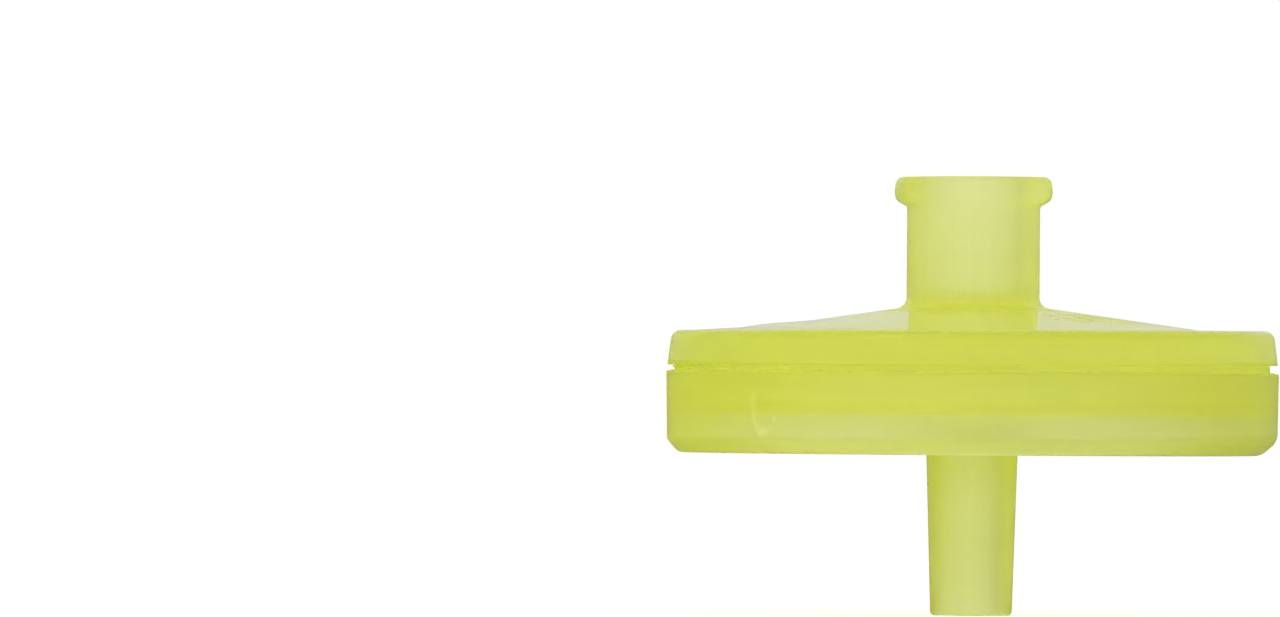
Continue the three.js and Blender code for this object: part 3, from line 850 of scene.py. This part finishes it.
film, film_tree, film_shader = new_material("white_membrane")
film_spot = film_tree.nodes.new("ShaderNodeTexCoord").outputs["Object"]
fibre = add_noise(film_tree, film_spot, FIBRE_SCALE, 4)
blotch = add_noise(film_tree, film_spot, BLOTCH_SCALE, 3)
film_tone = add_mix(film_tree, blotch, FILM_TINT, FILM_SHADE)
film_radius = add_place(film_tree, film_spot)[3]
from_first = add_math(film_tree, "SUBTRACT", film_radius, FIRST_DRAIN_RING * MM)
steps_out = add_math(film_tree, "DIVIDE", from_first, DRAIN_RING_STEP * MM)
into_step = add_math(film_tree, "FRACT", steps_out)
over_ring = add_ramp(film_tree, into_step, RING_EDGE, RING_SHARE, 0)
film_tone = add_mix(film_tree, over_ring, film_tone, RING_PAINTED_SHADE)
film_dull = add_ramp(film_tree, fibre, MIDDLE, *FILM_ROUGHNESS)
film_normal = add_bump(film_tree, fibre, FILM_GRAIN_DEPTH)
film_tree.links.new(film_tone, film_shader.inputs["Base Color"])
film_tree.links.new(film_dull, film_shader.inputs["Roughness"])
film_tree.links.new(film_normal, film_shader.inputs["Normal"])
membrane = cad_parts["filter_membrane"]
membrane.data.materials.clear()
membrane.data.materials.append(film)

# ---- Studio ---------------------------------------------------------------------------
# White paper under a plain surround. What shines or lets light through meets a white card
# behind the object, dimmer sides and a paler front, and the camera meets white all round.

PLAIN_LEVEL = 0.65                # the surround as it lights dull surfaces
CARD_LEVEL = 1.0
CARD_SHINE = 0.2                  # SHINE is what polished skin mirrors
SIDE_SHINE = 0.05                 # dark flags at the sides
SIDE_THROUGH = 0.78               # THROUGH is what shows through the plastic
FRONT_SHINE = 1.25
FRONT_THROUGH = 0.9
TOP_SHINE = 0.74
TOP_THROUGH = 0.9
LOW_THROUGH = 0.78                # what comes from below is dimmer by this factor
CARD_EDGE = (0.97, 0.998)         # cosines of the angle from the card's middle
SIDE_EDGE = (-0.7, 0.1)
TOP_EDGE = (0.0, 0.06)            # sines of the height above the horizon
LOW_EDGE = (-0.3, 0.0)
LOW_FALL_EDGE = (-0.5, 0.0)
RIGHT_FALL = 0.12                 # the right side is this much dimmer, and the left brighter
LOW_RIGHT_FALL = 0.40             # the same, where it comes from below
SHINE_LEAN = -0.1                 # the same for shine: the right side is brighter
FAR_FALL = 0.08                   # the far right is dimmer still
FAR_EDGE = (0.5, 0.95)
PAPER_COLOUR = (0.35, 0.35, 0.35, 1)
PAPER_ROUGHNESS = 0.9
PAPER_LIFT = 0.77
PAPER_BRIGHTNESS = 0.20           # what the lit paper gives before it is lifted
FLOOR_HALF = 3.0
KEY_PLACE = (-0.25, -0.25, 0.35)
KEY_TARGET = (0, 0, 0.01)
KEY_SIZE = 0.3
KEY_POWER = 0.3
LENS = 430.1
SENSOR = 36
CAMERA_PLACE = (-0.01633, -0.75, 0.0119)
CAMERA_TARGET = (-0.01633, 0, 0.01494)
CAMERA_ROLL = np.radians(0.40)
BOUNCES = 48
VOLUME_BOUNCES = 16
DIFFUSE_BOUNCES = 12


def surround_group():
    """Node group: the surround's brightness in a direction, for what shines or transmits."""
    tree = bpy.data.node_groups.new("surround", "ShaderNodeTree")
    tree.interface.new_socket("Direction", in_out="INPUT", socket_type="NodeSocketVector")
    tree.interface.new_socket("Through", in_out="INPUT", socket_type="NodeSocketFloat")
    tree.interface.new_socket("Level", in_out="OUTPUT", socket_type="NodeSocketFloat")
    given = tree.nodes.new("NodeGroupInput").outputs
    unit = tree.nodes.new("ShaderNodeVectorMath")
    unit.operation = "NORMALIZE"
    tree.links.new(given["Direction"], unit.inputs[0])
    parts = tree.nodes.new("ShaderNodeSeparateXYZ")
    tree.links.new(unit.outputs[0], parts.inputs[0])
    x, y, z = parts.outputs
    through = given["Through"]
    side = add_ramp(tree, through, WHOLE, SIDE_SHINE, SIDE_THROUGH)
    front = add_ramp(tree, through, WHOLE, FRONT_SHINE, FRONT_THROUGH)
    card = add_ramp(tree, through, WHOLE, CARD_SHINE, CARD_LEVEL)
    top = add_ramp(tree, through, WHOLE, TOP_SHINE, TOP_THROUGH)
    low = add_ramp(tree, through, WHOLE, 1.0, LOW_THROUGH)
    around = add_ramp(tree, y, SIDE_EDGE, front, side)
    around = add_ramp(tree, y, CARD_EDGE, around, card)
    around = add_ramp(tree, z, TOP_EDGE, around, top)
    around = add_product(tree, around, add_ramp(tree, z, LOW_EDGE, low, 1.0))
    fall = add_ramp(tree, z, LOW_FALL_EDGE, LOW_RIGHT_FALL, RIGHT_FALL)
    fall = add_ramp(tree, through, WHOLE, SHINE_LEAN, fall)
    lean = add_math(tree, "SUBTRACT", 1.0, add_product(tree, x, fall))
    lean = add_math(tree, "SUBTRACT", lean, add_ramp(tree, x, FAR_EDGE, 0, FAR_FALL))
    result = tree.nodes.new("NodeGroupOutput")
    tree.links.new(add_product(tree, around, lean), result.inputs["Level"])
    return tree


surround = surround_group()


def add_surround(tree, direction):
    """The surround's level in a direction, whether the ray shines or goes through, and
    whether it is the camera's own."""
    ray = tree.nodes.new("ShaderNodeLightPath").outputs
    studio = tree.nodes.new("ShaderNodeGroup")
    studio.node_tree = surround
    tree.links.new(direction, studio.inputs["Direction"])
    tree.links.new(ray["Is Transmission Ray"], studio.inputs["Through"])
    shiny = add_math(tree, "MAXIMUM", ray["Is Glossy Ray"], ray["Is Transmission Ray"])
    return studio.outputs["Level"], shiny, ray["Is Camera Ray"]


floor_mesh = bpy.data.meshes.new("floor")
floor_corners = [(-FLOOR_HALF, -FLOOR_HALF, 0), (FLOOR_HALF, -FLOOR_HALF, 0),
                 (FLOOR_HALF, FLOOR_HALF, 0), (-FLOOR_HALF, FLOOR_HALF, 0)]
floor_mesh.from_pydata(floor_corners, [], [(0, 1, 2, 3)])
floor = add_object("floor", floor_mesh)
paper, paper_tree, paper_shader = new_material("white_paper")
paper.cycles.emission_sampling = "NONE"
paper_shader.inputs["Base Color"].default_value = PAPER_COLOUR
paper_shader.inputs["Roughness"].default_value = PAPER_ROUGHNESS
paper_shader.inputs["Specular IOR Level"].default_value = 0.0
paper_shader.inputs["Emission Strength"].default_value = 1
paper_spot = paper_tree.nodes.new("ShaderNodeNewGeometry").outputs["Position"]
level, shiny, seen = add_surround(paper_tree, paper_spot)
glow = add_math(paper_tree, "SUBTRACT", level, PAPER_BRIGHTNESS)
glow = add_product(paper_tree, add_math(paper_tree, "MAXIMUM", glow, 0), shiny)
glow = add_ramp(paper_tree, seen, WHOLE, glow, PAPER_LIFT)
paper_tree.links.new(glow, paper_shader.inputs["Emission Color"])
floor_mesh.materials.append(paper)

world = bpy.data.worlds.new("studio")
bpy.context.scene.world = world
world.use_nodes = True
world.cycles.sampling_method = "NONE"
world_tree = world.node_tree
background = world_tree.nodes["Background"]
background.inputs["Strength"].default_value = 1
world_direction = world_tree.nodes.new("ShaderNodeTexCoord").outputs["Generated"]
level, shiny, seen = add_surround(world_tree, world_direction)
level = add_ramp(world_tree, shiny, WHOLE, PLAIN_LEVEL, level)
level = add_ramp(world_tree, seen, WHOLE, level, CARD_LEVEL)
world_tree.links.new(level, background.inputs["Color"])

lamp_data = bpy.data.lights.new("key", "AREA")
lamp_data.size = KEY_SIZE
lamp_data.energy = KEY_POWER
lamp = add_object("key", lamp_data)
lamp.location = KEY_PLACE
lamp_aim = (Vector(KEY_TARGET) - Vector(KEY_PLACE)).to_track_quat("-Z", "Y")
lamp.rotation_euler = lamp_aim.to_euler()

camera_data = bpy.data.cameras.new("camera")
camera_data.lens = LENS
camera_data.sensor_width = SENSOR
camera = add_object("camera", camera_data)
camera_aim = (Vector(CAMERA_TARGET) - Vector(CAMERA_PLACE)).to_track_quat("-Z", "Y")
camera_roll = Matrix.Rotation(CAMERA_ROLL, 4, "Z")
camera_turn = camera_aim.to_matrix().to_4x4() @ camera_roll
camera.matrix_world = Matrix.Translation(CAMERA_PLACE) @ camera_turn
bpy.context.scene.camera = camera
bpy.context.scene.view_settings.view_transform = "Standard"
cycles = bpy.context.scene.cycles
cycles.max_bounces = BOUNCES
cycles.transmission_bounces = BOUNCES
cycles.glossy_bounces = BOUNCES
cycles.volume_bounces = VOLUME_BOUNCES
cycles.diffuse_bounces = DIFFUSE_BOUNCES
cycles.blur_glossy = 0            # filtering would take light from the plastic
